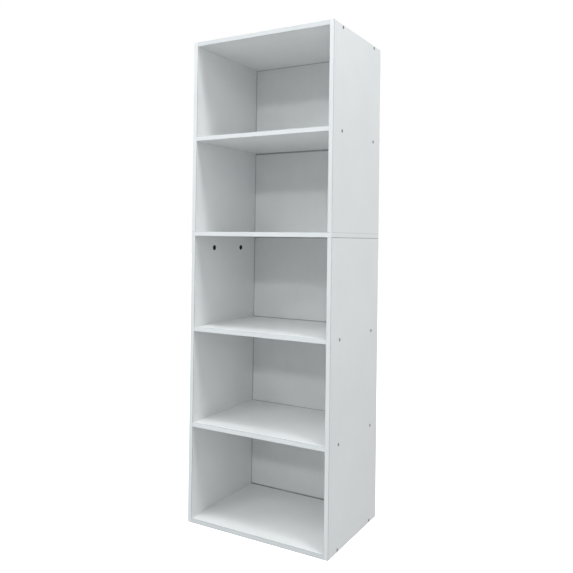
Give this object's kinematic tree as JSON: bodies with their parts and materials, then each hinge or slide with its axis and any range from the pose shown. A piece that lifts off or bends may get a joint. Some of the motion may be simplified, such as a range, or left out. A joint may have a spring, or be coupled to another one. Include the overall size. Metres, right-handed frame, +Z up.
{
  "type": "bookcase",
  "caption": "Tall narrow open bookcase: a lower and an upper board case with screwed-in shelves, a full-width middle board between them and a thin nailed back.",
  "frame": {"origin": "on the floor, under the centre of the case's outline", "axes": "+Z up, the open front faces -Y, +X to the right of someone facing the front"},
  "size_m": [0.535, 0.383, 1.65],
  "materials": {
    "board_white": "white melamine foil, fine satin grain",
    "edging_white": "white edging strip, satin",
    "back_sheet": "thin hardboard, white lacquer on the front",
    "screw_zinc": "zinc plated",
    "nail_steel": "bright drawn wire",
    "cam_metal": "die-cast zinc, dark passivated"
  },
  "bodies": {
    "case": {"side_lower_left": "board_white", "side_lower_right": "board_white", "side_upper_left": "board_white", "side_upper_right": "board_white", "bottom_board": "board_white", "shelf_1": "board_white", "shelf_2": "board_white", "middle_board": "board_white", "shelf_3": "board_white", "top_board": "board_white", "edging_side_lower_left": "edging_white", "edging_side_lower_right": "edging_white", "edging_side_upper_left": "edging_white", "edging_side_upper_right": "edging_white", "edging_bottom_board": "edging_white", "edging_shelf_1": "edging_white", "edging_shelf_2": "edging_white", "edging_middle_board": "edging_white", "edging_shelf_3": "edging_white", "edging_top_board": "edging_white", "back_lower": "back_sheet", "back_upper": "back_sheet", "nails_back_lower": "nail_steel", "nails_back_upper": "nail_steel", "screws_bottom_board": "screw_zinc", "screws_shelf_1": "screw_zinc", "screws_shelf_2": "screw_zinc", "screws_shelf_3": "screw_zinc", "screws_top_board": "screw_zinc", "cam_bolts": "screw_zinc"},
    "cam_left_front": {"cam_left_front": "cam_metal"},
    "cam_left_rear": {"cam_left_rear": "cam_metal"},
    "cam_right_front": {"cam_right_front": "cam_metal"},
    "cam_right_rear": {"cam_right_rear": "cam_metal"}
  },
  "joints": [
    {"name": "cam_left_front_turn", "type": "hinge", "parent": "case", "child": "cam_left_front", "pos_m": [-0.26, -0.0795, 0.94], "axis": [1, 0, 0], "range_deg": [0, 180]},
    {"name": "cam_left_rear_turn", "type": "hinge", "parent": "case", "child": "cam_left_rear", "pos_m": [-0.26, 0.0905, 0.94], "axis": [1, 0, 0], "range_deg": [0, 180]},
    {"name": "cam_right_front_turn", "type": "hinge", "parent": "case", "child": "cam_right_front", "pos_m": [0.26, -0.0795, 0.94], "axis": [-1, 0, 0], "range_deg": [0, 180]},
    {"name": "cam_right_rear_turn", "type": "hinge", "parent": "case", "child": "cam_right_rear", "pos_m": [0.26, 0.0905, 0.94], "axis": [-1, 0, 0], "range_deg": [0, 180]}
  ]
}
